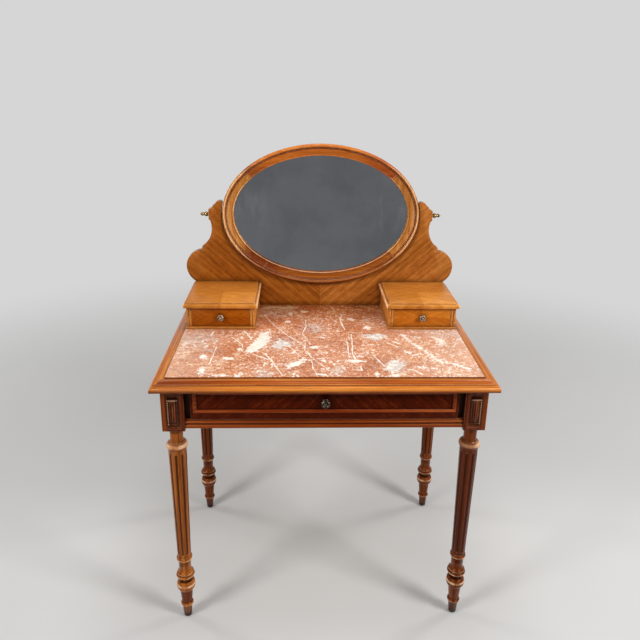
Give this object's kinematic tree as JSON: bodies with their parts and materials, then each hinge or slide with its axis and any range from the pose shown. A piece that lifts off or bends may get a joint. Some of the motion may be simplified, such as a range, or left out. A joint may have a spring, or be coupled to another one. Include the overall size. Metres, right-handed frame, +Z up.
{
  "type": "dressing table",
  "caption": "Dressing table with turned fluted legs, a frieze drawer, a moulded marble top, small drawer boxes and an oval mirror that tilts between the shaped uprights of its backboard.",
  "frame": {"origin": "on the floor, at the middle of the footprint", "axes": "+X to the sitter's right, +Y to the back, +Z up"},
  "size_m": [0.842, 0.5597, 1.2482],
  "materials": {
    "walnut_leg": "waxed walnut",
    "walnut_rail": "waxed walnut",
    "walnut_moulding": "polished walnut",
    "walnut_board": "polished walnut veneer",
    "walnut_box": "polished walnut",
    "walnut_mirror": "polished walnut",
    "chevron_veneer": "polished chevron veneer",
    "quarter_veneer": "polished quartered veneer",
    "bead_wood": "polished moulding",
    "ebonised_wood": "dark stained",
    "secondary_wood": "plain oak and poplar, unpolished",
    "marble": "polished red marble with white patches",
    "mirror_glass": "silvered bevelled glass",
    "knob_silver": "worn silvered brass",
    "knob_bronze": "dark patinated brass",
    "brass": "polished brass",
    "glide_iron": "dark iron",
    "screw_steel": "plain steel"
  },
  "bodies": {
    "table": {"leg_front_left": "walnut_leg", "leg_front_right": "walnut_leg", "leg_rear_left": "walnut_leg", "leg_rear_right": "walnut_leg", "leg_tablets": "walnut_leg", "apron_left": "walnut_rail", "apron_right": "walnut_rail", "apron_rear": "walnut_rail", "front_lower_rail": "walnut_rail", "top_frame_front": "walnut_moulding", "top_frame_left": "walnut_moulding", "top_frame_right": "walnut_moulding", "top_frame_rear": "walnut_moulding", "backboard": "walnut_board", "left_box_base": "walnut_box", "left_box_outer_side": "walnut_box", "left_box_inner_side": "walnut_box", "left_box_top": "walnut_box", "right_box_base": "walnut_box", "right_box_outer_side": "walnut_box", "right_box_inner_side": "walnut_box", "right_box_top": "walnut_box", "front_top_rail": "secondary_wood", "drawer_runners": "secondary_wood", "corner_blocks": "secondary_wood", "marble_bed": "secondary_wood", "pivot_bushes": "brass", "front_stiles": "ebonised_wood", "marble_top": "marble", "foot_glides": "glide_iron", "top_screws": "screw_steel", "backboard_screws": "screw_steel", "box_screws": "screw_steel"},
    "main_drawer": {"main_drawer_right_side": "secondary_wood", "main_drawer_left_side": "secondary_wood", "main_drawer_back": "secondary_wood", "main_drawer_bottom": "secondary_wood", "main_drawer_front": "chevron_veneer", "main_drawer_strips": "bead_wood", "main_drawer_knob": "knob_bronze"},
    "left_drawer": {"left_drawer_front": "quarter_veneer", "left_drawer_sides": "secondary_wood", "left_drawer_back": "secondary_wood", "left_drawer_bottom": "secondary_wood", "left_drawer_knob": "knob_silver"},
    "right_drawer": {"right_drawer_front": "quarter_veneer", "right_drawer_sides": "secondary_wood", "right_drawer_back": "secondary_wood", "right_drawer_bottom": "secondary_wood", "right_drawer_knob": "knob_silver"},
    "mirror": {"mirror_frame_top": "walnut_mirror", "mirror_frame_left": "walnut_mirror", "mirror_frame_bottom": "walnut_mirror", "mirror_frame_right": "walnut_mirror", "mirror_glass": "mirror_glass", "mirror_backing": "secondary_wood", "mirror_backing_clips": "brass", "mirror_pivot_pins": "brass"},
    "left_finial": {"left_finial": "brass"},
    "right_finial": {"right_finial": "brass"}
  },
  "joints": [
    {"name": "main_drawer_slide", "type": "slide", "parent": "table", "child": "main_drawer", "axis": [0, -1, 0], "range_m": [0, 0.3]},
    {"name": "left_drawer_slide", "type": "slide", "parent": "table", "child": "left_drawer", "axis": [0, -1, 0], "range_m": [0, 0.12]},
    {"name": "right_drawer_slide", "type": "slide", "parent": "table", "child": "right_drawer", "axis": [0, -1, 0], "range_m": [0, 0.12]},
    {"name": "mirror_tilt", "type": "hinge", "parent": "table", "child": "mirror", "pos_m": [0, 0.2585, 1.0375], "axis": [1, 0, 0], "range_deg": [-60, 60]},
    {"name": "left_finial_turn", "type": "hinge", "parent": "mirror", "child": "left_finial", "pos_m": [-0.35, 0.2585, 1.0375], "axis": [1, 0, 0], "continuous": true},
    {"name": "right_finial_turn", "type": "hinge", "parent": "mirror", "child": "right_finial", "pos_m": [0.35, 0.2585, 1.0375], "axis": [1, 0, 0], "continuous": true}
  ]
}
